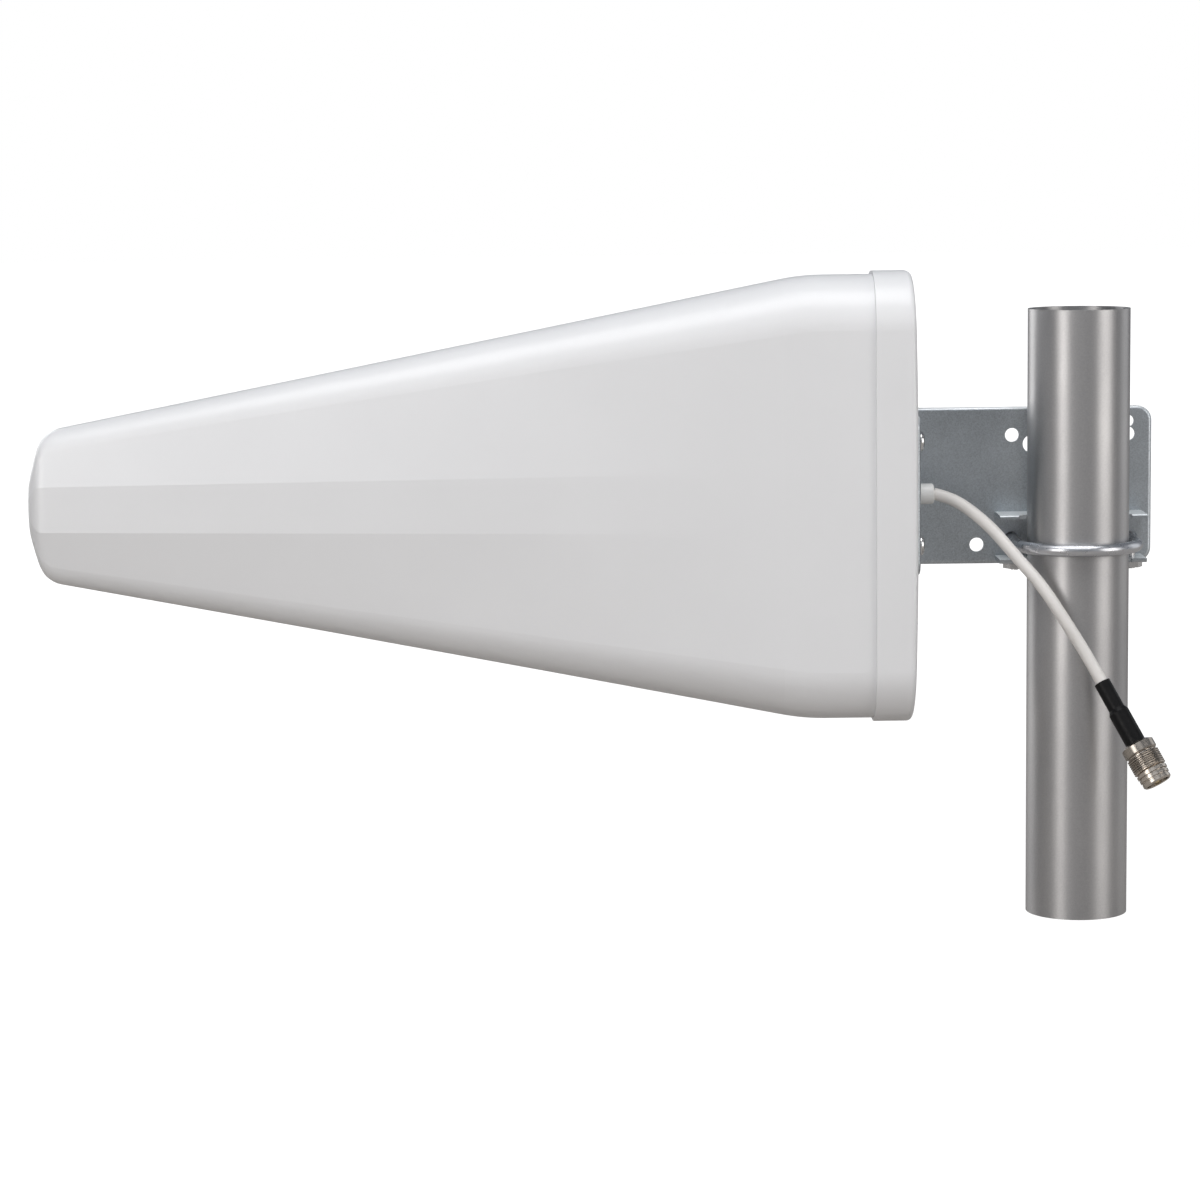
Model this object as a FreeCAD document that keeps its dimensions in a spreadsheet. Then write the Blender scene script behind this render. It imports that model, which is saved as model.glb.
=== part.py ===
# Log-periodic directional antenna in a moulded radome, clamped to a mast stub.
# Frame, in millimetres: the mast's axis is the Z axis and its foot is z = 0.
# The antenna points along -X, and the bracket plate is on the +Y side of the mast.
import FreeCAD, Part
import Sketcher
import math
import os

from FreeCAD import Placement, Rotation, Vector

# Driving dimensions, in millimetres and degrees.
SIZES = [
    # Mast stub
    ("mast_diameter", 50.0),
    ("mast_wall", 2.0),
    ("mast_length", 300.0),
    # Where the antenna's axis and rear face lie from the mast
    ("axis_height", 208.6),
    ("cap_reach", 81.4),
    # Radome: parallel shoulder, straight taper and rounded nose
    ("radome_length", 429.4),
    ("shoulder_setback", 50.2),
    ("body_height", 218.2),
    ("body_width", 62.0),
    ("top_flat", 10.0),
    ("nose_height", 70.8),
    ("shoulder_round", 110.0),
    ("nose_width", 41.0),
    ("nose_corner", 11.5),
    ("nose_bow", 95.0),
    ("nose_round", 13.0),
    ("nose_side_round", 9.0),
    ("band_nose", 22.0),
    ("band_shoulder", 30.0),
    ("facet_lean", 14.0),
    ("radome_wall", 2.4),
    # Rear cap and its gasket
    ("cap_length", 20.4),
    ("cap_wall", 3.0),
    ("cap_skirt", 1.6),
    ("cap_clearance", 0.1),
    ("cap_crown", 3600.0),
    ("crown_relief", 0.2),
    ("cap_edge", 3.0),
    ("gasket_thickness", 1.5),
    # Pigtail cable, its gland and the gland's nut
    ("cable_diameter", 6.0),
    ("gland_rise", 1.0),
    ("stem_diameter", 8.0),
    ("collar_diameter", 10.2),
    ("collar_length", 10.2),
    ("collar_edge", 0.8),
    ("cable_seat", 1.0),
    ("gland_nut_flats", 13.0),
    ("gland_nut_height", 5.0),
    # Bracket sheet
    ("sheet_gauge", 2.0),
    ("bracket_height", 78.8),
    ("bracket_rise", 1.7),
    ("plate_overhang", 41.0),
    ("flange_near", 22.0),
    ("bend_round", 1.5),
    ("plate_corner", 7.5),
    ("flange_corner", 7.0),
    ("edge_round", 1.8),
    ("gland_window", 14.0),
    # Bracket screws
    ("screw_diameter", 5.0),
    ("screw_head", 10.0),
    ("head_height", 2.4),
    ("recess_depth", 1.4),
    ("recess_width", 1.1),
    ("recess_span", 5.2),
    ("screw_rise", 28.0),
    ("screw_drop", 22.8),
    ("screw_spread", 28.0),
    ("screw_clearance", 0.2),
    ("screw_nut_flats", 8.0),
    ("screw_nut_height", 4.0),
    ("screw_tail", 1.5),
    # Inner plate behind the cap's wall
    ("inner_gauge", 3.0),
    ("inner_height", 76.0),
    ("inner_width", 44.0),
    # U-bolt and its hole pairs
    ("bolt_diameter", 6.0),
    ("bolt_spacing", 58.0),
    ("bolt_clearance", 0.5),
    ("bolt_tail", 4.0),
    ("clamp_drop", 25.0),
    ("spare_rise", 27.0),
    ("washer_diameter", 12.5),
    ("washer_gauge", 1.6),
    ("lock_washer_diameter", 11.0),
    ("lock_washer_gauge", 1.6),
    ("bolt_nut_flats", 10.0),
    ("bolt_nut_height", 5.0),
    # Other holes of the plate, from the mast's axis and the antenna's axis
    ("stop_hole_diameter", 8.8),
    ("stop_hole_back", 19.2),
    ("stop_hole_rise", 22.5),
    ("lower_hole_diameter", 7.1),
    ("lower_hole_back", 46.6),
    ("lower_hole_drop", 28.0),
    ("tilt_hole_rise", 6.4),
    ("tilt_hole_diameter", 6.0),
    # Toothed saddle
    ("saddle_gauge", 2.0),
    ("saddle_width", 73.0),
    ("saddle_shift", -1.0),
    ("saddle_edge_round", 1.0),
    ("saddle_height", 24.0),
    ("saddle_rise", 1.8),
    ("saddle_depth", 23.0),
    ("saddle_hole_diameter", 9.5),
    ("web_gap", 4.0),
    ("notch_angle", 45.0),
    ("notch_land", 1.4),
    ("tooth_pitch", 2.6),
    ("tooth_depth", 1.1),
    # Set screws under the saddle, one at each leg of the U-bolt
    ("set_screw_diameter", 4.0),
    ("set_screw_reach", 0.8),
    ("set_nut_flats", 10.0),
    ("set_nut_height", 3.2),
    # Booms and radiating elements
    ("boom_size", 10.0),
    ("boom_wall", 1.2),
    ("boom_gap", 7.5),
    ("boom_nose_room", 17.4),
    ("block_length", 12.0),
    ("block_height", 22.0),
    ("block_margin", 1.0),
    ("element_diameter", 4.0),
    ("element_clearance", 7.7),
    ("element_setback", 18.0),
    ("front_element_setback", 16.5),
    ("running_gap", 0.1),
    ("front_spacer_setback", 4.0),
    ("spacer_thickness", 5.0),
    ("spacer_inset", 0.4),
    ("middle_spacer_height", 44.0),
    ("link_gauge", 1.0),
    ("link_height", 5.0),
    # Heat-shrink sleeve and connector at the pigtail's end
    ("sleeve_length", 34.0),
    ("sleeve_diameter", 8.0),
    ("sleeve_shoulder", 2.0),
    ("ferrule_length", 17.2),
    ("ferrule_diameter", 8.8),
    ("sleeve_wall", 0.6),
    ("collar_nut_diameter", 16.4),
    ("collar_nut_length", 5.8),
    ("shell_diameter", 16.4),
    ("shell_length", 8.9),
    ("thread_pitch", 1.0),
    ("thread_depth", 0.6),
    ("socket_diameter", 14.4),
    ("socket_length", 7.2),
    ("band_pitch", 2.2),
    ("band_groove", 0.5),
    ("band_step", 0.6),
    ("socket_bore", 11.8),
    ("neck_diameter", 13.6),
    ("insulator_diameter", 8.6),
    ("insulator_length", 5.0),
    ("contact_diameter", 3.0),
    ("contact_reach", 4.5),
]

ELEMENT_COUNT = 11
THREAD_COUNT = 8
END_BANDS = 3

# Near the nose tip the corners and the flat band take at most these shares of the half-height
CORNER_SHARE = 0.45
BAND_SHARE = 0.33

# Places worked out from the driving dimensions, as formulas of the second sheet.
PLACES = [
    ("axis_z", "Sizes.axis_height"),
    ("gland_z", "axis_z + Sizes.gland_rise"),
    # Stack behind the cap's rear face, going forward along -X
    ("cap_rear", "-Sizes.cap_reach"),
    ("cap_front", "cap_rear - Sizes.cap_length"),
    ("cap_inner", "cap_rear - Sizes.cap_wall"),
    ("radome_rear", "cap_inner - Sizes.gasket_thickness"),
    ("nose_tip", "radome_rear - Sizes.radome_length"),
    ("shoulder_x", "radome_rear - Sizes.shoulder_setback"),
    ("taper_slope", "(Sizes.body_height - Sizes.nose_height) / 2 / (shoulder_x - nose_tip)"),
    ("inner_front", "cap_inner - Sizes.inner_gauge"),
    ("block_front", "inner_front - Sizes.block_length"),
    ("boom_front", "nose_tip + Sizes.boom_nose_room"),
    ("boom_length", "block_front - boom_front"),
    # Radome and cap outlines
    ("body_corner", "(Sizes.body_width - Sizes.top_flat) / 2"),
    ("cap_fit_height", "Sizes.body_height + 2 * Sizes.cap_clearance"),
    ("cap_fit_width", "Sizes.body_width + 2 * Sizes.cap_clearance"),
    ("cap_fit_corner", "body_corner + Sizes.cap_clearance"),
    # Flange on the cap, screws through it and nuts behind the inner plate
    ("flange_face", "cap_rear + Sizes.sheet_gauge"),
    ("screw_hole", "Sizes.screw_diameter + 2 * Sizes.screw_clearance"),
    ("screw_upper", "axis_z + Sizes.screw_rise"),
    ("screw_lower", "axis_z - Sizes.screw_drop"),
    ("screw_side", "Sizes.screw_spread / 2"),
    ("screw_length", "flange_face - inner_front + Sizes.screw_nut_height + Sizes.screw_tail"),
    ("inner_middle", "(screw_upper + screw_lower) / 2"),
    # Gland
    ("gland_end", "cap_rear + Sizes.collar_length"),
    ("stem_length", "cap_rear - inner_front + Sizes.gland_nut_height + Sizes.screw_tail"),
    ("stem_hole", "Sizes.stem_diameter + 2 * Sizes.running_gap"),
    ("cable_hole", "Sizes.cable_diameter + 2 * Sizes.running_gap"),
    # Saddle and plate behind the mast, along +Y
    ("web_face", "Sizes.mast_diameter / 2 + Sizes.web_gap"),
    ("notch_apex", "Sizes.mast_diameter / 2 / sin(Sizes.notch_angle)"),
    ("notch_floor", "web_face - Sizes.notch_land"),
    ("notch_start", "(notch_apex - notch_floor) / cos(Sizes.notch_angle)"),
    ("plate_face", "web_face + Sizes.saddle_gauge"),
    ("plate_back", "plate_face + Sizes.sheet_gauge"),
    ("saddle_front", "plate_face - Sizes.saddle_depth"),
    ("plate_end", "Sizes.plate_overhang"),
    ("bracket_z", "axis_z + Sizes.bracket_rise"),
    # U-bolt: its bend touches the mast's front
    ("bolt_z", "axis_z - Sizes.clamp_drop"),
    ("spare_z", "axis_z + Sizes.spare_rise"),
    ("bolt_side", "Sizes.bolt_spacing / 2"),
    ("bolt_hole", "Sizes.bolt_diameter + 2 * Sizes.bolt_clearance"),
    ("bend_centre", "bolt_side - Sizes.bolt_diameter / 2 - Sizes.mast_diameter / 2"),
    ("lock_washer_face", "plate_back + Sizes.washer_gauge"),
    ("bolt_nut_face", "lock_washer_face + Sizes.lock_washer_gauge"),
    ("bolt_end", "bolt_nut_face + Sizes.bolt_nut_height + Sizes.bolt_tail"),
    # Set screws under the saddle
    ("saddle_z", "bolt_z + Sizes.saddle_rise"),
    ("saddle_bottom", "saddle_z - Sizes.saddle_height / 2"),
    ("set_screw_y", "(web_face + saddle_front) / 2"),
    ("set_screw_top", "bolt_z - Sizes.bolt_diameter / 2"),
    ("set_nut_bottom", "saddle_bottom - Sizes.set_nut_height"),
    # Booms: the cable lies against the near one
    ("near_face", "-Sizes.cable_diameter / 2 - Sizes.running_gap / 2"),
    ("near_middle", "near_face - Sizes.boom_size / 2"),
    ("far_face", "near_face + Sizes.boom_gap"),
    ("far_middle", "far_face + Sizes.boom_size / 2"),
    ("block_near", "near_face - Sizes.boom_size - Sizes.block_margin"),
    ("block_width", "2 * Sizes.boom_size + Sizes.boom_gap + 2 * Sizes.block_margin"),
    ("block_bore", "Sizes.gland_nut_flats / cos(30) + 1"),
    # Elements: their ends follow the radome's taper, from the longest at the rear to the nose
    ("first_element", "block_front - Sizes.element_setback"),
    ("element_span", "Sizes.body_height - 2 * (Sizes.radome_wall + Sizes.element_clearance)"),
    ("element_reach", "first_element - boom_front - Sizes.front_element_setback"),
    ("front_span", "element_span - 2 * element_reach * taper_slope"),
    ("element_ratio", f"(front_span / element_span) ^ (1 / {ELEMENT_COUNT - 1})"),
    # Spacers: one behind the booms' front ends and one midway between two elements
    ("front_spacer_x", "boom_front + Sizes.front_spacer_setback - Sizes.spacer_thickness / 2"),
    ("middle_span", "element_span * (element_ratio ^ 3 + element_ratio ^ 4) / 2"),
    ("middle_reach", "(element_span - middle_span) / 2 / taper_slope"),
    ("middle_spacer_x", "first_element - middle_reach - Sizes.spacer_thickness / 2"),
    # Connector, along the pigtail's last direction
    ("ferrule_start", "Sizes.sleeve_length - Sizes.ferrule_length"),
    ("shell_start", "Sizes.collar_nut_length"),
    ("socket_start", "shell_start + Sizes.shell_length"),
    ("connector_end", "socket_start + Sizes.socket_length"),
]

# The pigtail's route: out of the gland, forward past the mast and down in front of it.
CABLE_ROUTE = [
    (-65.1, -0.5, 208.1),
    (-56.4, -1.4, 203.9),
    (-43.4, -5.7, 193.2),
    (-32.3, -15.6, 179.7),
    (-20.7, -25.7, 166.4),
    (-10.6, -32.5, 150.2),
    (-0.7, -35.3, 134.4),
    (6.4, -41.5, 120.9),
]

# Turning a local Z axis to a direction of the frame.
ALONG = {
    "+x": Rotation(Vector(0, 1, 0), 90),
    "-x": Rotation(Vector(0, 1, 0), -90),
    "+y": Rotation(Vector(1, 0, 0), -90),
    "-y": Rotation(Vector(1, 0, 0), 90),
    "+z": Rotation(),
    "-z": Rotation(Vector(1, 0, 0), 180),
}

doc = FreeCAD.newDocument("directional_antenna")
sizes = doc.addObject("Spreadsheet::Sheet", "Sizes")
places = doc.addObject("Spreadsheet::Sheet", "Places")
NODES = []


def fill_sheet(sheet, rows, lead):
    """One row for each value: its name in column A and the value in column B."""
    for row, (name, value) in enumerate(rows, start=1):
        sheet.set(f"A{row}", name)
        sheet.set(f"B{row}", lead + str(value))
        sheet.setAlias(f"B{row}", name)


def node(name, obj):
    """Give the sub-part its own label and put it on the list of solids to write."""
    obj.Label = name
    NODES.append(obj)
    return obj


def bind(obj, **formulas):
    for name, formula in formulas.items():
        obj.setExpression(name, formula)
    return obj


def put(obj, at, along="+z"):
    """Place an object at three formulas, with its local Z axis turned to a direction."""
    obj.Placement = Placement(Vector(), ALONG[along])
    for letter, formula in zip("xyz", at):
        obj.setExpression(f"Placement.Base.{letter}", formula)
    return obj


def box(length, width, height, at):
    obj = doc.addObject("Part::Box", "Block")
    bind(obj, Length=length, Width=width, Height=height)
    return put(obj, at)


def cylinder(diameter, height, at, along="+z"):
    obj = doc.addObject("Part::Cylinder", "Round")
    bind(obj, Radius=f"({diameter}) / 2", Height=height)
    return put(obj, at, along)


def hexagon(flats, height, at, along="+z"):
    obj = doc.addObject("Part::Prism", "Hexagon")
    obj.Polygon = 6
    bind(obj, Circumradius=f"({flats}) / 2 / cos(30)", Height=height)
    return put(obj, at, along)


def fuse(*shapes):
    obj = doc.addObject("Part::MultiFuse", "Fuse")
    obj.Shapes = list(shapes)
    obj.Refine = True
    return obj


def group(*shapes):
    """Separate solids in one sub-part."""
    obj = doc.addObject("Part::Compound", "Group")
    obj.Links = list(shapes)
    return obj


def fixed_shape(name, shape):
    obj = doc.addObject("Part::Feature", name)
    obj.Shape = shape
    return obj


def cut(base, *tools):
    obj = doc.addObject("Part::Cut", "Cut")
    obj.Base = base
    obj.Tool = tools[0] if len(tools) == 1 else group(*tools)
    return obj


def new_body(name):
    body = doc.addObject("PartDesign::Body", name)
    doc.recompute()
    return body


def sketch_on(body, role):
    """A sketch on one of the body's own origin planes."""
    plane = next(f for f in body.Origin.OriginFeatures if f.Role == role)
    sketch = body.newObject("Sketcher::SketchObject", "Sketch")
    sketch.AttachmentSupport = [(plane, "")]
    sketch.MapMode = "FlatFace"
    return sketch


def fix_point(sketch, geometry, end, start, formulas):
    """Tie one point of a sketch to its two coordinates."""
    for kind, value, formula in zip(("DistanceX", "DistanceY"), (start.x, start.y), formulas):
        number = sketch.addConstraint(Sketcher.Constraint(kind, -1, 1, geometry, end, value))
        sketch.setExpression(f"Constraints[{number}]", formula)


def draw_outline(sketch, corners):
    """A closed outline of straight sides through corners given as pairs of formulas."""
    count = len(corners)
    turn = 2 * math.pi / count
    starts = [Vector(20 * math.cos(turn * i), 20 * math.sin(turn * i), 0) for i in range(count)]
    for i in range(count):
        sketch.addGeometry(Part.LineSegment(starts[i], starts[(i + 1) % count]), False)
    for i in range(count):
        sketch.addConstraint(Sketcher.Constraint("Coincident", i, 2, (i + 1) % count, 1))
    for i in range(count):
        fix_point(sketch, i, 1, starts[i], corners[i])


def draw_circle(sketch, centre, diameter):
    start = Vector(1.0 + sketch.GeometryCount, 1.0, 0)
    circle = sketch.addGeometry(Part.Circle(start, Vector(0, 0, 1), 1.0), False)
    number = sketch.addConstraint(Sketcher.Constraint("Diameter", circle, 2.0))
    sketch.setExpression(f"Constraints[{number}]", diameter)
    fix_point(sketch, circle, 3, start, centre)


def pad(body, sketch, length, symmetric=False):
    feature = body.newObject("PartDesign::Pad", "Pad")
    feature.Profile = sketch
    bind(feature, Length=length)
    if symmetric:
        feature.SideType = "Symmetric"
    doc.recompute()
    return feature


def pocket_through(body, sketch):
    feature = body.newObject("PartDesign::Pocket", "Pocket")
    feature.Profile = sketch
    feature.Type = "ThroughAll"
    feature.SideType = "Symmetric"
    doc.recompute()
    return feature


def round_edges(body, radius, wanted):
    """Fillet the edges of the body's tip that the test picks."""
    tip = body.Tip
    names = [f"Edge{i}" for i, edge in enumerate(tip.Shape.Edges, start=1) if wanted(edge)]
    feature = body.newObject("PartDesign::Fillet", "Fillet")
    feature.Base = (tip, names)
    bind(feature, Radius=radius)
    doc.recompute()
    return feature


def turned(name, profile):
    """A body turned about its local Z axis from pairs of radius and height formulas."""
    body = new_body(name)
    sketch = sketch_on(body, "XZ_Plane")
    draw_outline(sketch, profile)
    feature = body.newObject("PartDesign::Revolution", "Revolution")
    feature.Profile = sketch
    feature.ReferenceAxis = (sketch, ["V_Axis"])
    feature.Angle = 360.0
    doc.recompute()
    return body


def runs_along(edge, axis):
    """True for a straight edge parallel to one axis of the body."""
    if len(edge.Vertexes) != 2:
        return False
    across = edge.Vertexes[1].Point - edge.Vertexes[0].Point
    return across.Length > 0.01 and abs(across.dot(axis)) > 0.999 * across.Length


def rounded_block(name, length, width, height, corner, at):
    """A block along X with its four long edges rounded, centred on Y and Z."""
    body = new_body(name)
    sketch = sketch_on(body, "YZ_Plane")
    side, top = f"({width}) / 2", f"({height}) / 2"
    draw_outline(sketch, [(f"-{side}", f"-{top}"), (side, f"-{top}"), (side, top), (f"-{side}", top)])
    pad(body, sketch, length)
    round_edges(body, corner, lambda edge: runs_along(edge, Vector(1, 0, 0)))
    return put(body, at)


# Mast stub

def make_mast():
    outer = cylinder("Sizes.mast_diameter", "Sizes.mast_length", ("0", "0", "0"))
    bore = cylinder("Sizes.mast_diameter - 2 * Sizes.mast_wall", "Sizes.mast_length", ("0", "0", "0"))
    node("mast_tube", cut(outer, bore))


# Radome shell

class RadomeForm:
    """Half-height, half-width and corner radius of the radome at a distance from its nose tip.

    The side view is a bowed nose, a round into the straight taper and a round into the parallel
    shoulder. The flank has a flat band with facets that lean back at the nose and fade out behind.
    """

    def __init__(self, inset):
        self.inset = inset
        self.slope = places.taper_slope
        self.angle = math.atan(self.slope)
        self.tip = places.nose_tip + inset
        self.rear = places.radome_rear
        self.shoulder = places.shoulder_x
        self.top = sizes.body_height / 2 - inset
        # The inner wall is parallel to the taper, so its meeting with the shoulder moves a little
        self.corner = self.shoulder + inset * math.tan(self.angle / 2)
        self.nose_top = self.top - self.slope * (self.corner - self.tip)
        self.bow = sizes.nose_bow - inset
        self.round = sizes.nose_round - inset
        self.side_round = sizes.nose_side_round - inset
        self.shoulder_round = sizes.shoulder_round - inset
        # Centre of the nose round, tangent to the bow inside it and to the taper
        low = self.nose_top - self.round / math.cos(self.angle)
        a = 1 + self.slope ** 2
        b = 2 * (low * self.slope - self.bow)
        c = self.bow ** 2 + low ** 2 - (self.bow - self.round) ** 2
        self.round_x = (-b - math.sqrt(b * b - 4 * a * c)) / (2 * a)
        self.round_z = low + self.round_x * self.slope
        reach = self.bow / (self.bow - self.round)
        self.bow_end = self.bow + reach * (self.round_x - self.bow)
        self.bow_angle = math.atan2(self.round_z, self.bow - self.round_x)
        self.taper_start = self.round_x - self.round * math.sin(self.angle)
        tangent = self.shoulder_round * math.tan(self.angle / 2)
        self.bend_start = self.corner - tangent * math.cos(self.angle)
        self.bend_end = self.corner + tangent

    def half_height(self, x):
        along = x - self.tip
        if along < self.bow_end:
            return math.sqrt(self.bow ** 2 - (self.bow - along) ** 2)
        if along < self.taper_start:
            return self.round_z + math.sqrt(self.round ** 2 - (along - self.round_x) ** 2)
        if x < self.bend_start:
            return self.nose_top + self.slope * along
        if x < self.bend_end:
            turn = math.asin((self.bend_end - x) / self.shoulder_round)
            return self.top - self.shoulder_round * (1 - math.cos(turn))
        return self.top

    def share(self, x):
        """0 at the nose tip and 1 where the taper ends."""
        return min(1.0, (x - self.tip) / (self.bend_start - self.tip))

    def blend(self, first, last, x):
        return first + (last - first) * self.share(x)

    def half_width(self, x):
        width = self.blend(sizes.nose_width, sizes.body_width, x) / 2 - self.inset
        along = x - self.tip
        if along < self.side_round:
            width -= self.side_round - math.sqrt(self.side_round ** 2 - (self.side_round - along) ** 2)
        return width

    def section(self, x):
        """Closed outline of the section at x: flat band, leaning facets and round corners."""
        height = self.half_height(x)
        width = self.half_width(x)
        corner = min(self.blend(sizes.nose_corner, places.body_corner, x) - self.inset, CORNER_SHARE * height)
        band = min(self.blend(sizes.band_nose, sizes.band_shoulder, x) / 2, BAND_SHARE * height)
        lean = math.radians(sizes.facet_lean) * (1 - self.share(x))
        # Corner circle tangent to the top and to the leaning facet
        cy = width - (corner + (height - corner - band) * math.sin(lean)) / math.cos(lean)
        cz = height - corner
        ty = cy + corner * math.cos(lean)
        tz = cz + corner * math.sin(lean)
        middle = (math.pi / 2 + lean) / 2
        my = cy + corner * math.cos(middle)
        mz = cz + corner * math.sin(middle)
        edges = []
        for side in (1, -1):
            start = [(width, -band), (width, band), (ty, tz), (my, mz), (cy, height)]
            points = [Vector(x, side * y, side * z) for y, z in start]
            edges.append(Part.LineSegment(points[0], points[1]).toShape())
            edges.append(Part.LineSegment(points[1], points[2]).toShape())
            edges.append(Part.Arc(points[2], points[3], points[4]).toShape())
            # Across the top to the mirrored corner, then down its facet to the other band
            mirror = [Vector(x, -side * y, side * z) for y, z in start]
            edges.append(Part.LineSegment(points[4], mirror[4]).toShape())
            edges.append(Part.Arc(mirror[4], mirror[3], mirror[2]).toShape())
            edges.append(Part.LineSegment(mirror[2], mirror[1]).toShape())
        return Part.Wire(edges)

    def solid(self, rear):
        """Nose, taper, shoulder bend and parallel end, joined into one solid."""
        nose_at = []
        for share in (0.35, 0.7, 1.0):
            height = share * self.bow * math.sin(self.bow_angle)
            nose_at.append(self.tip + self.bow - math.sqrt(self.bow ** 2 - height ** 2))
        last = math.pi / 2 - self.angle
        for step in (0.3, 0.55, 0.8, 1.0):
            turn = self.bow_angle + (last - self.bow_angle) * step
            nose_at.append(self.tip + self.round_x - self.round * math.cos(turn))
        start = self.tip + self.taper_start
        nose_at[-1] = start
        spans = [(nose_at, False)]
        stops = [start + (self.bend_start - start) * i / 3 for i in range(4)]
        spans += [([stops[i], stops[i + 1]], True) for i in range(3)]
        bend_at = [self.bend_end - self.shoulder_round * math.sin(self.angle * (1 - i / 3)) for i in range(4)]
        bend_at[0] = self.bend_start
        bend_at[-1] = self.bend_end
        spans.append((bend_at, False))
        spans.append(([self.bend_end, rear], True))
        lofts = [Part.makeLoft([self.section(x) for x in at], True, ruled) for at, ruled in spans]
        shape = lofts[0].fuse(lofts[1:])
        shape.translate(Vector(0, 0, places.axis_z))
        return shape


def make_radome():
    outer = RadomeForm(0.0)
    inner = RadomeForm(sizes.radome_wall)
    shell = outer.solid(outer.rear).cut(inner.solid(inner.rear + 1.0))
    node("radome", fixed_shape("Radome", shell))


# Rear cap, its gasket and what is bolted through it

def at_screws(make):
    """The same piece at each of the four bracket screws."""
    pieces = []
    for side in ("-Places.screw_side", "Places.screw_side"):
        for level in ("Places.screw_lower", "Places.screw_upper"):
            pieces.append(make(side, level))
    return pieces


def make_cap():
    outer = rounded_block(
        "CapOuter", "Sizes.cap_length", "Places.cap_fit_width + 2 * Sizes.cap_skirt",
        "Places.cap_fit_height + 2 * Sizes.cap_skirt", "Places.cap_fit_corner + Sizes.cap_skirt",
        ("Places.cap_front", "0", "Places.axis_z"))
    crown = cylinder(
        "2 * Sizes.cap_crown", "2 * Sizes.body_width",
        ("Places.cap_rear + Sizes.crown_relief - Sizes.cap_crown", "-Sizes.body_width", "Places.axis_z"),
        "+y")
    crowned = doc.addObject("Part::Common", "Crowned")
    crowned.Base = outer
    crowned.Tool = crown
    doc.recompute()
    # Round the rim all the way about the rear face
    rim = []
    for number, edge in enumerate(crowned.Shape.Edges, start=1):
        box_of_edge = edge.BoundBox
        behind = box_of_edge.XMin > places.cap_front + sizes.cap_length / 2
        on_rim = max(abs(edge.CenterOfMass.y) / sizes.body_width,
                     abs(edge.CenterOfMass.z - places.axis_z) / sizes.body_height)
        if behind and on_rim > 0.42:
            rim.append((number, sizes.cap_edge, sizes.cap_edge))
    rounded = doc.addObject("Part::Fillet", "CapRounded")
    rounded.Base = crowned
    rounded.Edges = rim
    cavity = rounded_block(
        "CapCavity", "Sizes.cap_length - Sizes.cap_wall + 1", "Places.cap_fit_width",
        "Places.cap_fit_height", "Places.cap_fit_corner",
        ("Places.cap_front - 1", "0", "Places.axis_z"))
    holes = at_screws(lambda side, level: cylinder(
        "Places.screw_hole", "3 * Sizes.cap_wall", ("Places.cap_inner - Sizes.cap_wall", side, level), "+x"))
    holes.append(cylinder(
        "Places.stem_hole", "3 * Sizes.cap_wall",
        ("Places.cap_inner - Sizes.cap_wall", "0", "Places.gland_z"), "+x"))
    node("rear_cap", cut(rounded, cavity, *holes))


def make_gasket():
    wall = "2 * Sizes.radome_wall"
    ring = rounded_block(
        "GasketOuter", "Sizes.gasket_thickness", "Sizes.body_width", "Sizes.body_height",
        "Places.body_corner", ("Places.radome_rear", "0", "Places.axis_z"))
    window = rounded_block(
        "GasketWindow", "Sizes.gasket_thickness + 2", f"Sizes.body_width - {wall}",
        f"Sizes.body_height - {wall}", "Places.body_corner - Sizes.radome_wall",
        ("Places.radome_rear - 1", "0", "Places.axis_z"))
    node("cap_gasket", cut(ring, window))


def make_inner_plate():
    plate = rounded_block(
        "InnerPlate", "Sizes.inner_gauge", "Sizes.inner_width", "Sizes.inner_height", "Sizes.flange_corner",
        ("Places.inner_front", "0", "Places.inner_middle"))
    holes = at_screws(lambda side, level: cylinder(
        "Places.screw_hole", "3 * Sizes.inner_gauge",
        ("Places.inner_front - Sizes.inner_gauge", side, level), "+x"))
    holes.append(cylinder(
        "Places.stem_hole", "3 * Sizes.inner_gauge",
        ("Places.inner_front - Sizes.inner_gauge", "0", "Places.gland_z"), "+x"))
    node("inner_plate", cut(plate, *holes))


def make_gland():
    stem = "Sizes.stem_diameter / 2"
    collar = "Sizes.collar_diameter / 2"
    bore = "Places.cable_hole / 2"
    gland = turned("Gland", [
        (bore, "-Places.stem_length"), (stem, "-Places.stem_length"), (stem, "0"), (collar, "0"),
        (collar, "Sizes.collar_length - Sizes.collar_edge"),
        (f"{collar} - Sizes.collar_edge", "Sizes.collar_length"), (bore, "Sizes.collar_length")])
    node("cable_gland", put(gland, ("Places.cap_rear", "0", "Places.gland_z"), "+x"))
    nut = hexagon(
        "Sizes.gland_nut_flats", "Sizes.gland_nut_height",
        ("Places.inner_front - Sizes.gland_nut_height", "0", "Places.gland_z"), "+x")
    hole = cylinder(
        "Places.stem_hole", "Sizes.gland_nut_height + 2",
        ("Places.inner_front - Sizes.gland_nut_height - 1", "0", "Places.gland_z"), "+x")
    node("gland_nut", cut(nut, hole))


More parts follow.
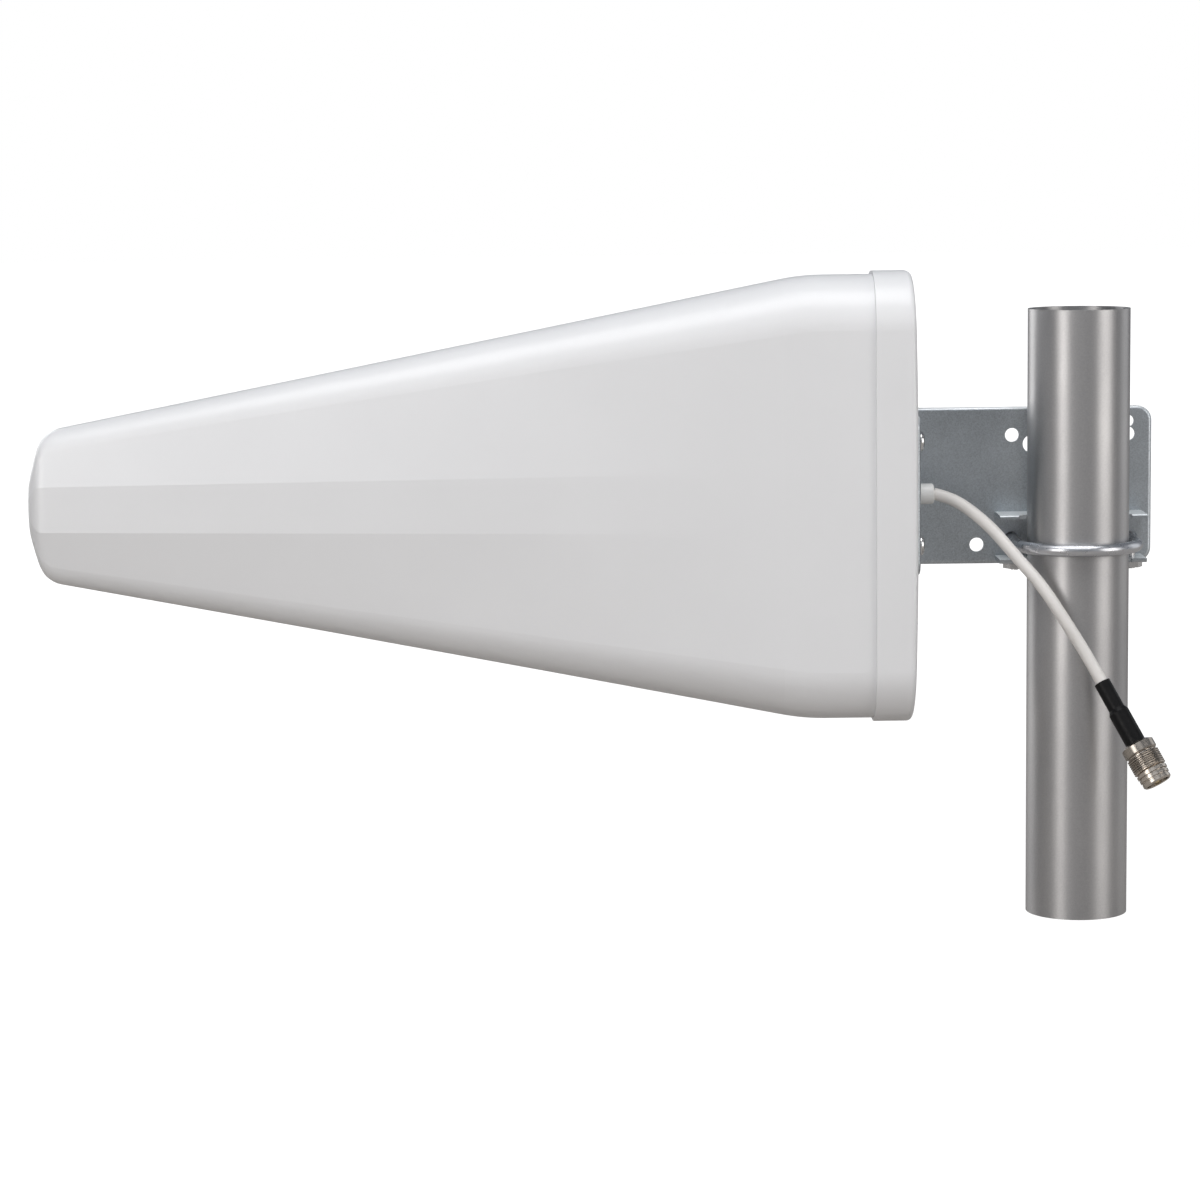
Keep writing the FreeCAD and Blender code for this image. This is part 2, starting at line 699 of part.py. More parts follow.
def make_bracket_screws():
    head = "Sizes.screw_head / 2"
    shank = "Sizes.screw_diameter / 2"
    crown = "Sizes.head_height"

    def screw(side, level):
        body = turned("Screw", [
            ("0", "-Places.screw_length"), (f"{shank} - 0.5", "-Places.screw_length"),
            (shank, "0.5 - Places.screw_length"), (shank, "0"), (head, "0"), (head, f"0.3 * {crown}"),
            (f"0.9 * {head}", f"0.68 * {crown}"), (f"0.66 * {head}", f"0.92 * {crown}"), ("0", crown)])
        put(body, ("Places.flange_face", side, level), "+x")
        floor = f"Places.flange_face + {crown} - Sizes.recess_depth"
        arms = []
        narrow, long = "Sizes.recess_width", "Sizes.recess_span"
        for wide, tall in ((narrow, long), (long, narrow)):
            arms.append(box(
                "Sizes.recess_depth + 1", wide, tall,
                (floor, f"{side} - {wide} / 2", f"{level} - {tall} / 2")))
        return cut(body, fuse(*arms))

    node("bracket_screws", group(*at_screws(screw)))

    def nut(side, level):
        start = "Places.inner_front - Sizes.screw_nut_height"
        block = hexagon("Sizes.screw_nut_flats", "Sizes.screw_nut_height", (start, side, level), "+x")
        hole = cylinder(
            "Sizes.screw_diameter + Sizes.running_gap", "Sizes.screw_nut_height + 2",
            (f"{start} - 1", side, level), "+x")
        return cut(block, hole)

    node("bracket_nuts", group(*at_screws(nut)))


# Booms, elements and what carries them inside the radome

def make_booms():
    inside = "Sizes.boom_size - 2 * Sizes.boom_wall"
    for name, face in (("boom_near", "Places.near_face - Sizes.boom_size"), ("boom_far", "Places.far_face")):
        outer = box(
            "Places.boom_length", "Sizes.boom_size", "Sizes.boom_size",
            ("Places.boom_front", face, "Places.axis_z - Sizes.boom_size / 2"))
        hollow = box(
            "Places.boom_length + 2", inside, inside,
            ("Places.boom_front - 1", f"{face} + Sizes.boom_wall",
             "Places.axis_z - Sizes.boom_size / 2 + Sizes.boom_wall"))
        node(name, cut(outer, hollow))
    block = box(
        "Sizes.block_length", "Places.block_width", "Sizes.block_height",
        ("Places.block_front", "Places.block_near", "Places.axis_z - Sizes.block_height / 2"))
    bore = cylinder(
        "Places.block_bore", "Sizes.block_length + 2",
        ("Places.block_front - 1", "0", "Places.gland_z"), "+x")
    node("shorting_block", cut(block, bore))


def make_elements():
    """Half rods on opposite booms, crossed over from one pair to the next."""
    for index in range(ELEMENT_COUNT):
        span = f"Places.element_span * Places.element_ratio ^ {index}"
        along = f"Places.first_element - (Places.element_span - {span}) / 2 / Places.taper_slope"
        length = f"({span}) / 2 - Sizes.boom_size / 2"
        middles = ("Places.near_middle", "Places.far_middle")
        up, down = middles if index % 2 == 0 else middles[::-1]
        upper = cylinder("Sizes.element_diameter", length, (along, up, "Places.axis_z + Sizes.boom_size / 2"))
        lower = cylinder(
            "Sizes.element_diameter", length, (along, down, "Places.axis_z - Sizes.boom_size / 2"), "-z")
        node(f"dipole_{index + 1:02d}", group(upper, lower))


def make_spacer(name, form, at_x, height=None):
    """A slab across the inside of the radome with close windows for the booms and the cable."""
    start = getattr(places, at_x)
    slab = Part.Face(form.section(start)).extrude(Vector(sizes.spacer_thickness, 0, 0))
    slab.translate(Vector(0, 0, places.axis_z))
    blank = fixed_shape("Slab", slab)
    if height:
        band = doc.addObject("Part::Common", "Band")
        band.Base = blank
        band.Tool = box(
            "Sizes.spacer_thickness + 2", "2 * Sizes.body_width", height,
            (f"Places.{at_x} - 1", "-Sizes.body_width", f"Places.axis_z - {height} / 2"))
        blank = band
    gap = "Sizes.running_gap"
    windows = [
        box("Sizes.spacer_thickness + 2", f"Sizes.boom_size + 2 * {gap}", f"Sizes.boom_size + 2 * {gap}",
            (f"Places.{at_x} - 1", f"{face} - {gap}", f"Places.axis_z - Sizes.boom_size / 2 - {gap}"))
        for face in ("Places.near_face - Sizes.boom_size", "Places.far_face")]
    windows.append(cylinder(
        "Places.cable_hole", "Sizes.spacer_thickness + 2",
        (f"Places.{at_x} - 1", "0", "Places.gland_z"), "+x"))
    node(name, cut(blank, fuse(*windows)))


def make_feed():
    line = cylinder(
        "Sizes.cable_diameter", "Places.gland_end - Sizes.cable_seat - Places.boom_front",
        ("Places.boom_front", "0", "Places.gland_z"), "+x")
    node("feed_line", line)
    node("feed_link", box(
        "Sizes.link_gauge", "Places.far_face + Sizes.boom_size + Sizes.cable_diameter / 2 - 0.5",
        "Sizes.link_height",
        ("Places.boom_front - Sizes.link_gauge", "0.5 - Sizes.cable_diameter / 2",
         "Places.gland_z - Sizes.link_height / 2")))


# Bent bracket

def make_bracket():
    body = new_body("Bracket")
    profile = sketch_on(body, "XY_Plane")
    draw_outline(profile, [
        ("Places.cap_rear", "-Sizes.flange_near"), ("Places.flange_face", "-Sizes.flange_near"),
        ("Places.flange_face", "Places.plate_face"), ("Places.plate_end", "Places.plate_face"),
        ("Places.plate_end", "Places.plate_back"), ("Places.cap_rear", "Places.plate_back")])
    pad(body, profile, "Sizes.bracket_height", symmetric=True)
    upright = Vector(0, 0, 1)

    def near(edge, x, y):
        middle = edge.CenterOfMass
        return abs(middle.x - x) < 0.01 and abs(middle.y - y) < 0.01

    round_edges(body, "Sizes.bend_round", lambda edge: runs_along(edge, upright) and near(
        edge, places.flange_face, places.plate_face))
    round_edges(body, "Sizes.bend_round + Sizes.sheet_gauge", lambda edge: runs_along(edge, upright) and near(
        edge, places.cap_rear, places.plate_back))
    round_edges(body, "Sizes.plate_corner", lambda edge: runs_along(edge, Vector(0, 1, 0)) and abs(
        edge.CenterOfMass.x - places.plate_end) < 0.01)
    round_edges(body, "Sizes.flange_corner", lambda edge: runs_along(edge, Vector(1, 0, 0)) and abs(
        edge.CenterOfMass.y + sizes.flange_near) < 0.01)
    # The sheared outline is rolled over on the mast's side
    round_edges(body, "Sizes.edge_round", lambda edge: runs_along(edge, Vector(1, 0, 0)) and abs(
        edge.CenterOfMass.y - places.plate_face) < 0.01)

    plate = sketch_on(body, "XZ_Plane")
    down = "- Sizes.bracket_rise"
    for side in ("-Places.bolt_side", "Places.bolt_side"):
        for level in ("-Sizes.clamp_drop", "Sizes.spare_rise"):
            draw_circle(plate, (side, f"{level} {down}"), "Places.bolt_hole")
    draw_circle(plate, ("-Sizes.stop_hole_back", f"Sizes.stop_hole_rise {down}"), "Sizes.stop_hole_diameter")
    draw_circle(
        plate, ("-Sizes.lower_hole_back", f"-Sizes.lower_hole_drop {down}"), "Sizes.lower_hole_diameter")
    pocket_through(body, plate)
    # The tilt hole runs into the spare U-bolt hole below it
    tilt = sketch_on(body, "XZ_Plane")
    draw_circle(
        tilt, ("Places.bolt_side", f"Sizes.spare_rise + Sizes.tilt_hole_rise {down}"),
        "Sizes.tilt_hole_diameter")
    pocket_through(body, tilt)
    flange = sketch_on(body, "YZ_Plane")
    draw_circle(flange, ("0", f"Sizes.gland_rise {down}"), "Sizes.gland_window")
    for side in ("-Places.screw_side", "Places.screw_side"):
        for level in ("-Sizes.screw_drop", "Sizes.screw_rise"):
            draw_circle(flange, (side, f"{level} {down}"), "Places.screw_hole")
    pocket_through(body, flange)
    node("mounting_bracket", put(body, ("0", "0", "Places.bracket_z")))


# Toothed saddle: a channel whose two flanges bear on the mast

def notch_points():
    """The right half of the toothed notch, from its flat floor out to the flange's front edge.

    The teeth are cut below a line that is tangent to the mast.
    """
    run = (places.notch_floor - places.saddle_front) / math.cos(math.radians(sizes.notch_angle))
    count = math.ceil(run / sizes.tooth_pitch)
    points = []
    for tooth in range(count):
        for share, depth in ((0.0, "0"), (0.5, "Sizes.tooth_depth")):
            along = f"(Places.notch_start + {tooth + share} * Sizes.tooth_pitch)"
            points.append((
                f"{along} * sin(Sizes.notch_angle) + {depth} * cos(Sizes.notch_angle)",
                f"Places.notch_apex - {along} * cos(Sizes.notch_angle) + {depth} * sin(Sizes.notch_angle)"))
    return points


def make_saddle():
    body = new_body("Saddle")
    web = sketch_on(body, "XY_Plane")
    half = "Sizes.saddle_width / 2"
    draw_outline(web, [
        (f"Sizes.saddle_shift - {half}", "Places.saddle_front"),
        (f"Sizes.saddle_shift + {half}", "Places.saddle_front"),
        (f"Sizes.saddle_shift + {half}", "Places.plate_face"),
        (f"Sizes.saddle_shift - {half}", "Places.plate_face")])
    pad(body, web, "Sizes.saddle_height", symmetric=True)
    # Hollow the channel between its two flanges
    hollow = sketch_on(body, "YZ_Plane")
    inside = "Sizes.saddle_height / 2 - Sizes.saddle_gauge"
    draw_outline(hollow, [
        ("Places.saddle_front - 1", f"-({inside})"), ("Places.web_face", f"-({inside})"),
        ("Places.web_face", inside), ("Places.saddle_front - 1", inside)])
    pocket_through(body, hollow)
    along = Vector(1, 0, 0)
    round_edges(body, "Sizes.saddle_gauge", lambda edge: runs_along(edge, along) and abs(
        edge.CenterOfMass.y - places.plate_face) < 0.01)
    round_edges(body, "Sizes.saddle_edge_round", lambda edge: runs_along(edge, along) and abs(
        edge.CenterOfMass.y - places.saddle_front) < 0.01 and abs(
        abs(edge.CenterOfMass.z) - sizes.saddle_height / 2) < 0.01)
    # Toothed notch for the mast, through both flanges
    notch = sketch_on(body, "XY_Plane")
    right = notch_points()
    reach = "(Places.notch_apex - Places.saddle_front + 1) * tan(Sizes.notch_angle)"
    outline = [(reach, "Places.saddle_front - 1")] + right[::-1]
    outline += [(f"-({x})", y) for x, y in right] + [(f"-({reach})", "Places.saddle_front - 1")]
    draw_outline(notch, outline)
    pocket_through(body, notch)
    holes = sketch_on(body, "XZ_Plane")
    for side in ("-Places.bolt_side", "Places.bolt_side"):
        draw_circle(holes, (side, "-Sizes.saddle_rise"), "Sizes.saddle_hole_diameter")
    pocket_through(body, holes)
    below = sketch_on(body, "XY_Plane")
    for side in ("-Places.bolt_side", "Places.bolt_side"):
        draw_circle(below, (side, "Places.set_screw_y"), "Sizes.set_screw_diameter + Sizes.running_gap")
    feature = body.newObject("PartDesign::Pocket", "ScrewHoles")
    feature.Profile = below
    feature.Type = "ThroughAll"
    doc.recompute()
    node("saddle", put(body, ("0", "0", "Places.saddle_z")))


# U-bolt, its washers and nuts, and the saddle's set screws

def at_legs(make):
    return [make(side) for side in ("-Places.bolt_side", "Places.bolt_side")]


def make_u_bolt():
    bend = doc.addObject("Part::Torus", "Bend")
    bind(bend, Radius1="Places.bolt_side", Radius2="Sizes.bolt_diameter / 2")
    bend.Angle3 = 180.0
    bend.Placement = Placement(Vector(), Rotation(Vector(0, 0, 1), 180))
    for letter, formula in zip("xyz", ("0", "Places.bend_centre", "Places.bolt_z")):
        bend.setExpression(f"Placement.Base.{letter}", formula)
    legs = at_legs(lambda side: cylinder(
        "Sizes.bolt_diameter", "Places.bolt_end - Places.bend_centre",
        (side, "Places.bend_centre", "Places.bolt_z"), "+y"))
    node("u_bolt", fuse(bend, *legs))


def ring(outer, inner, height, at, along):
    return cut(cylinder(outer, height, at, along), cylinder(inner, height, at, along))


def make_bolt_hardware():
    inner = "Sizes.bolt_diameter + Sizes.bolt_clearance"
    node("u_bolt_washers", group(*at_legs(lambda side: ring(
        "Sizes.washer_diameter", inner, "Sizes.washer_gauge",
        (side, "Places.plate_back", "Places.bolt_z"), "+y"))))
    node("u_bolt_lock_washers", group(*at_legs(lambda side: ring(
        "Sizes.lock_washer_diameter", inner, "Sizes.lock_washer_gauge",
        (side, "Places.lock_washer_face", "Places.bolt_z"), "+y"))))

    def nut(side):
        at = (side, "Places.bolt_nut_face", "Places.bolt_z")
        return cut(
            hexagon("Sizes.bolt_nut_flats", "Sizes.bolt_nut_height", at, "+y"),
            cylinder("Sizes.bolt_diameter + Sizes.running_gap", "Sizes.bolt_nut_height", at, "+y"))

    node("u_bolt_nuts", group(*at_legs(nut)))


def make_set_screws():
    """Each screw comes up through the saddle's lower flange and bears on a leg of the U-bolt."""
    low = "Places.set_nut_bottom - Sizes.set_screw_reach"
    node("set_screws", group(*at_legs(lambda side: cylinder(
        "Sizes.set_screw_diameter", f"Places.set_screw_top - ({low})",
        (side, "Places.set_screw_y", low)))))

    def nut(side):
        at = (side, "Places.set_screw_y", "Places.set_nut_bottom")
        return cut(
            hexagon("Sizes.set_nut_flats", "Sizes.set_nut_height", at),
            cylinder("Sizes.set_screw_diameter + Sizes.running_gap", "Sizes.set_nut_height", at))

    node("set_screw_nuts", group(*at_legs(nut)))


# Pigtail cable, sleeve and connector

def rounded_route(points):
    """Straight runs joined by tangent arcs, each as large as its two runs allow."""
    edges = []
    at = points[0]
    for before, corner, after in zip(points, points[1:], points[2:]):
        back = before - corner
        ahead = after - corner
        shorter = min(back.Length, ahead.Length)
        trim = 0.45 * shorter
        turn = math.pi - back.getAngle(ahead)
        radius = trim / math.tan(turn / 2)
        back.normalize()
        ahead.normalize()
        start = corner + back * trim
        end = corner + ahead * trim
        inward = (back + ahead).normalize()
        centre_gap = math.hypot(radius, trim)
        middle = corner + inward * (centre_gap - radius)
        edges.append(Part.LineSegment(at, start).toShape())
        edges.append(Part.Arc(start, middle, end).toShape())
        print(f"cable turn {math.degrees(turn):.1f} degrees, radius {radius:.1f} mm")
        at = end
    edges.append(Part.LineSegment(at, points[-1]).toShape())
    return Part.Wire(edges)


def make_pigtail():
    exit_point = Vector(places.gland_end, 0, places.gland_z)
    points = [exit_point] + [Vector(*point) for point in CABLE_ROUTE]
    path = rounded_route(points)
    first = (points[1] - points[0]).normalize()
    circle = Part.Circle(points[0], first, sizes.cable_diameter / 2)
    tube = path.makePipeShell([Part.Wire(circle.toShape())], True, True)
    ideal = math.pi * sizes.cable_diameter ** 2 / 4 * path.Length
    print(f"cable length {path.Length:.1f} mm, volume {tube.Volume:.1f} against {ideal:.1f}")
    node("pigtail_cable", fixed_shape("Pigtail", tube))
    along = (points[-1] - points[-2]).normalize()
    return points[-1], along


def place_on_cable(body, start, along, offset):
    body.Placement = Placement(start + along * offset, Rotation(Vector(0, 0, 1), along))
    return body


def make_connector(start, along):
    narrow = "Sizes.sleeve_diameter / 2"
    wide = "Sizes.ferrule_diameter / 2 + Sizes.sleeve_wall"
    ferrule = "Sizes.ferrule_diameter / 2"
    sleeve = turned("Sleeve", [
        ("0", "0"), (narrow, "0"), (narrow, "Places.ferrule_start - Sizes.sleeve_shoulder"),
        (wide, "Places.ferrule_start"), (wide, "Sizes.sleeve_length"), (ferrule, "Sizes.sleeve_length"),
        (ferrule, "Places.ferrule_start"), ("0", "Places.ferrule_start")])
    node("heat_shrink", place_on_cable(sleeve, start, along, 0.0))
    crimp = turned("Crimp", [
        ("0", "0"), (f"{ferrule} - 0.1", "0"), (f"{ferrule} - 0.1", "Sizes.ferrule_length"),
        ("0", "Sizes.ferrule_length")])
    node("crimp_ferrule", place_on_cable(crimp, start, along, places.ferrule_start))
    nut = "Sizes.collar_nut_diameter / 2"
    length = "Sizes.collar_nut_length"
    clamp = turned("ClampNut", [
        ("0", "0"), (f"{nut} - 2.2", "0"), (nut, "1.2"), (nut, f"{length} - 0.8"),
        (f"{nut} - 0.8", length), ("0", length)])
    node("connector_clamp_nut", place_on_cable(clamp, start, along, sizes.sleeve_length))
    shell = "Sizes.shell_diameter / 2"
    socket = "Sizes.socket_diameter / 2"
    bore = "Sizes.socket_bore / 2"
    neck = "Sizes.neck_diameter / 2"
    origin = sizes.sleeve_length + places.shell_start
    end = "(Sizes.shell_length + Sizes.socket_length)"
    base = "Sizes.shell_length"
    profile = [("0", "0"), (neck, "0"), (neck, "0.7")]
    root = f"{shell} - Sizes.thread_depth"
    for turn in range(THREAD_COUNT):
        ridge = f"0.7 + {turn} * Sizes.thread_pitch"
        profile += [
            (root, ridge), (shell, f"{ridge} + 0.35 * Sizes.thread_pitch"),
            (shell, f"{ridge} + 0.55 * Sizes.thread_pitch"), (root, f"{ridge} + 0.9 * Sizes.thread_pitch")]
    profile.append((neck, base))
    # Plain bands with narrow grooves, then the chamfered mouth
    for band in range(END_BANDS):
        groove = f"{base} + {band} * Sizes.band_pitch"
        rise = f"{groove} + Sizes.band_groove"
        # The bands get narrower towards the mouth
        rim = f"{socket} + {END_BANDS - 1 - band} * Sizes.band_step / 2"
        profile += [(neck, rise), (rim, f"{rise} + 0.2")]
        if band < END_BANDS - 1:
            profile += [
                (rim, f"{groove} + Sizes.band_pitch - 0.2"), (neck, f"{groove} + Sizes.band_pitch")]
    profile += [
        (socket, f"{end} - 0.7"), (f"{socket} - 0.7", end), (f"{bore} + 0.4", end), (bore, f"{end} - 0.4"),
        (bore, base), ("0", base)]
    body = turned("ConnectorBody", profile)
    node("connector_body", place_on_cable(body, start, along, origin))
    bead = "Sizes.insulator_diameter / 2"
    pin = "Sizes.contact_diameter / 2"
    insulator = turned("Insulator", [
        (pin, "0"), (bead, "0"), (bead, "Sizes.insulator_length"), (pin, "Sizes.insulator_length")])
    floor = origin + sizes.shell_length
    node("connector_insulator", place_on_cable(insulator, start, along, floor))
    contact = turned("Contact", [
        ("0", "0"), (f"{pin} - Sizes.running_gap / 2", "0"),
        (f"{pin} - Sizes.running_gap / 2", "Sizes.contact_reach + 1.5"),
        (f"0.6 * {pin}", "Sizes.contact_reach + 2.2"), ("0", "Sizes.contact_reach + 2.2")])
    node("connector_contact", place_on_cable(contact, start, along, floor))


def check_and_write():
    doc.recompute()
    for obj in doc.Objects:
        if "Invalid" in obj.State or "Error" in obj.State:
            raise RuntimeError(f"{obj.Name} ({obj.Label}) failed: {obj.State}")
    for obj in NODES:
        if obj.Shape.isNull() or not obj.Shape.isValid() or not obj.Shape.Solids:
            raise RuntimeError(f"{obj.Label} has no valid solid")
    os.makedirs("parts", exist_ok=True)
    for obj in NODES:
        obj.Shape.exportStep(f"parts/{obj.Label}.step")
        print(f"{obj.Label}: {len(obj.Shape.Solids)} solid, {obj.Shape.Volume:.0f} mm3")


fill_sheet(sizes, SIZES, "")
fill_sheet(places, PLACES, "=")
doc.recompute()

make_mast()
make_radome()
make_cap()
make_gasket()
make_inner_plate()
make_gland()
make_bracket_screws()
make_booms()
make_elements()
room = RadomeForm(sizes.radome_wall + sizes.spacer_inset)
make_spacer("front_spacer", room, "front_spacer_x")
make_spacer("middle_spacer", room, "middle_spacer_x", "Sizes.middle_spacer_height")
make_feed()
make_bracket()
make_saddle()
make_u_bolt()
make_bolt_hardware()
make_set_screws()
cable_end, cable_direction = make_pigtail()
make_connector(cable_end, cable_direction)
check_and_write()
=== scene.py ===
import math

import bpy
from mathutils import Matrix, Vector


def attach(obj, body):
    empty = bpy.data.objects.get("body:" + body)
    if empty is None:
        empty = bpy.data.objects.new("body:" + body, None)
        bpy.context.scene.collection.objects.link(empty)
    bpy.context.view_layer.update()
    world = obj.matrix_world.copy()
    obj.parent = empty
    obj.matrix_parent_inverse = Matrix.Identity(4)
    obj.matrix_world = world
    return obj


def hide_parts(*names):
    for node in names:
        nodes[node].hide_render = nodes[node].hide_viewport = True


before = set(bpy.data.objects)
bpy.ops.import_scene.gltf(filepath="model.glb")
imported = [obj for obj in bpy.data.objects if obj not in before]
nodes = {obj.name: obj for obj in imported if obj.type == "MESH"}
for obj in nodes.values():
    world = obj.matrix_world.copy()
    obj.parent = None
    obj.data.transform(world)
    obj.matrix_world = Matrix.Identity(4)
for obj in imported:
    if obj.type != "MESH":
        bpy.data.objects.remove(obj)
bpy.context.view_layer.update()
scene = bpy.context.scene
scene.view_settings.view_transform = "Standard"

# The camera's turn away from a level view along +Y, in degrees, and its lens and sensor, in millimetres
CAMERA_YAW = 0.07
CAMERA_PITCH = -7.28
CAMERA_ROLL = -0.67
CAMERA_PLACE = (-0.2382, -1.7226, 0.37885)
CAMERA_LENS = 105.4
CAMERA_SENSOR = 36.0

# Points that the lamps look at and the floor's shading is centred on
OBJECT_MIDDLE = (-0.2, 0.0, 0.2)
MAST_MIDDLE = (0.0, 0.0, 0.18)
OBJECT_FOOT = (-0.2, 0.0, 0.0)

FLOOR_PLACE = (0.0, 3.0, 0.0)
FLOOR_SIZE = 16.0
FLOOR_COLOUR = (0.29, 0.266, 0.243)
# Share of the floor's own shading that the camera sees near the object, and where it fades out
SHADOW_SHARE = 0.13
SHADOW_FADES_FROM = 0.35
SHADOW_ENDS_AT = 1.1

WHITE = (1.0, 1.0, 1.0)
WARM = (1.0, 0.97, 0.94)
ROOM_TINT = (0.9, 0.96, 1.06)
ROOM_STRENGTH = 0.17
# What gloss mirrors on top of that: of the room, and of the floor's white
ROOM_MIRRORED = 0.03
FLOOR_MIRRORED = 0.13

# The cable's route from the gland to the connector, as in the solid model
PIGTAIL_ROUTE = [
    (-0.0712, 0.0, 0.2096),
    (-0.0651, -0.0005, 0.2081),
    (-0.0564, -0.0014, 0.2039),
    (-0.0434, -0.0057, 0.1932),
    (-0.0323, -0.0156, 0.1797),
    (-0.0207, -0.0257, 0.1664),
    (-0.0106, -0.0325, 0.1502),
    (-0.0007, -0.0353, 0.1344),
    (0.0064, -0.0415, 0.1209),
]

# Fine ribs round the connector's shell, painted as stripes of painted shade, measured along the connector
# from the cable's end
RIBS_START = 0.0404
RIBS_END = 0.0472
RIB_PITCH = 0.0008


# Camera

def make_camera():
    yaw, pitch, roll = (math.radians(angle) for angle in (CAMERA_YAW, CAMERA_PITCH, CAMERA_ROLL))
    forward = Vector((math.sin(yaw) * math.cos(pitch), math.cos(yaw) * math.cos(pitch), math.sin(pitch)))
    level = Vector((math.cos(yaw), -math.sin(yaw), 0.0))
    upright = level.cross(forward)
    right = level * math.cos(roll) + upright * math.sin(roll)
    up = upright * math.cos(roll) - level * math.sin(roll)
    data = bpy.data.cameras.new("camera")
    data.sensor_width = CAMERA_SENSOR
    data.lens = CAMERA_LENS
    camera = bpy.data.objects.new("camera", data)
    turn = Matrix((right, up, -forward)).transposed()
    camera.matrix_world = Matrix.Translation(CAMERA_PLACE) @ turn.to_4x4()
    scene.collection.objects.link(camera)
    scene.camera = camera


# Node trees

def is_output(value):
    return isinstance(value, bpy.types.NodeSocket)


class Tree:
    """Short calls for building a node tree."""

    def __init__(self, tree):
        self.tree = tree

    def add(self, kind, **values):
        made = self.tree.nodes.new(kind)
        for key, value in values.items():
            if key in made.inputs:
                made.inputs[key].default_value = value
            else:
                setattr(made, key, value)
        return made

    def link(self, start, end):
        self.tree.links.new(start, end)

    def math(self, operation, *values):
        """One operation on plain numbers and other nodes' outputs."""
        made = self.add("ShaderNodeMath", operation=operation)
        for place, value in enumerate(values):
            if is_output(value):
                self.link(value, made.inputs[place])
            else:
                made.inputs[place].default_value = value
        return made.outputs[0]

    def spread(self, value, low, high, start=0.3, end=0.7):
        """The value's part from start to end, spread from low to high."""
        made = self.add("ShaderNodeMapRange")
        made.inputs["From Min"].default_value = start
        made.inputs["From Max"].default_value = end
        made.inputs["To Min"].default_value = low
        made.inputs["To Max"].default_value = high
        self.link(value, made.inputs["Value"])
        return made.outputs["Result"]

    def blend(self, factor, first, second):
        """From the first colour to the second; each is a plain colour or another node's output."""
        made = self.add("ShaderNodeMix", data_type="RGBA")
        for key, colour in (("A", first), ("B", second)):
            if is_output(colour):
                self.link(colour, made.inputs[key])
            else:
                made.inputs[key].default_value = (*colour, 1.0)
        self.link(factor, made.inputs["Factor"])
        return made.outputs["Result"]


class Paint(Tree):
    """A new material's node tree, with calls for what its surface needs."""

    def __init__(self, name):
        self.material = bpy.data.materials.new(name)
        self.material.use_nodes = True
        super().__init__(self.material.node_tree)
        self.shader = self.tree.nodes["Principled BSDF"]
        self.output = self.tree.nodes["Material Output"]

    def coordinates(self, scale=(1.0, 1.0, 1.0), shift=(0.0, 0.0, 0.0)):
        place = self.add("ShaderNodeTexCoord")
        mapping = self.add("ShaderNodeMapping", Scale=scale, Location=shift)
        self.link(place.outputs["Object"], mapping.inputs["Vector"])
        return mapping.outputs["Vector"]

    def noise(self, vector, scale, detail=2.0, roughness=0.5):
        made = self.add("ShaderNodeTexNoise", Scale=scale, Detail=detail, Roughness=roughness)
        self.link(vector, made.inputs["Vector"])
        return made.outputs["Fac"]

    def vector_math(self, operation, vector, other=None):
        made = self.add("ShaderNodeVectorMath", operation=operation)
        self.link(vector, made.inputs[0])
        if other is not None:
            made.inputs[1].default_value = other
        return made.outputs

    def facing_up(self):
        """The height of the surface's normal: 1 on a face that looks straight up."""
        face = self.add("ShaderNodeNewGeometry")
        parts = self.add("ShaderNodeSeparateXYZ")
        self.link(face.outputs["Normal"], parts.inputs[0])
        return parts.outputs["Z"]

    def bump(self, height, strength, distance, previous=None):
        made = self.add("ShaderNodeBump", Strength=strength, Distance=distance)
        self.link(height, made.inputs["Height"])
        if previous is not None:
            self.link(previous, made.inputs["Normal"])
        return made.outputs["Normal"]

    def finish(self, colour, roughness, normal=None, **values):
        for key, value in values.items():
            self.shader.inputs[key.replace("_", " ")].default_value = value
        self.link(colour, self.shader.inputs["Base Color"])
        self.link(roughness, self.shader.inputs["Roughness"])
        if normal is not None:
            self.link(normal, self.shader.inputs["Normal"])
        return self.material


# Materials

def darker(colour, share):
    return tuple(share * c for c in colour)


def moulded_plastic(name, colour, roughness):
    """Gloss moulded plastic: faint waviness, a trace of dust in the colour and an uneven gloss."""
    made = Paint(name)
    where = made.coordinates()
    cloud = made.noise(where, scale=14.0, detail=3.0)
    fine = made.noise(where, scale=900.0)
    shade = made.blend(made.spread(cloud, 0.0, 1.0), darker(colour, 0.975), colour)
    gloss = made.spread(fine, roughness * 0.95, roughness * 1.05)
    wave = made.bump(cloud, strength=0.05, distance=0.002)
    grain = made.bump(fine, strength=0.03, distance=0.00002, previous=wave)
    return made.finish(shade, gloss, grain)


def plated_sheet(name, bright, dark, painted_top_light, roughness):
    """Zinc-plated sheet: fine two-tone speckle, soft clouds, and a painted highlight that makes faces
    that look up paler and less metallic.
    """
    made = Paint(name)
    where = made.coordinates()
    cloud = made.noise(where, scale=30.0, detail=3.0)
    speck = made.noise(where, scale=1500.0, detail=3.0, roughness=0.7)
    # Three parts speckle to one part cloud
    both = made.math("MULTIPLY_ADD", speck, 0.75, made.spread(cloud, 0.0, 0.25, start=0.2, end=0.8))
    tone = made.blend(made.spread(both, 0.0, 1.0, start=0.3, end=0.72), dark, bright)
    # Painted highlight: faces that look up are painted paler and less metallic, as if lit from above
    upward = made.spread(made.facing_up(), 0.0, 1.0, start=0.25, end=0.8)
    shade = made.blend(upward, tone, painted_top_light)
    made.link(made.spread(upward, 1.0, 0.15, start=0.0, end=1.0), made.shader.inputs["Metallic"])
    gloss = made.spread(speck, roughness + 0.1, roughness - 0.1)
    grain = made.bump(speck, strength=0.2, distance=0.00008)
    return made.finish(shade, gloss, grain)


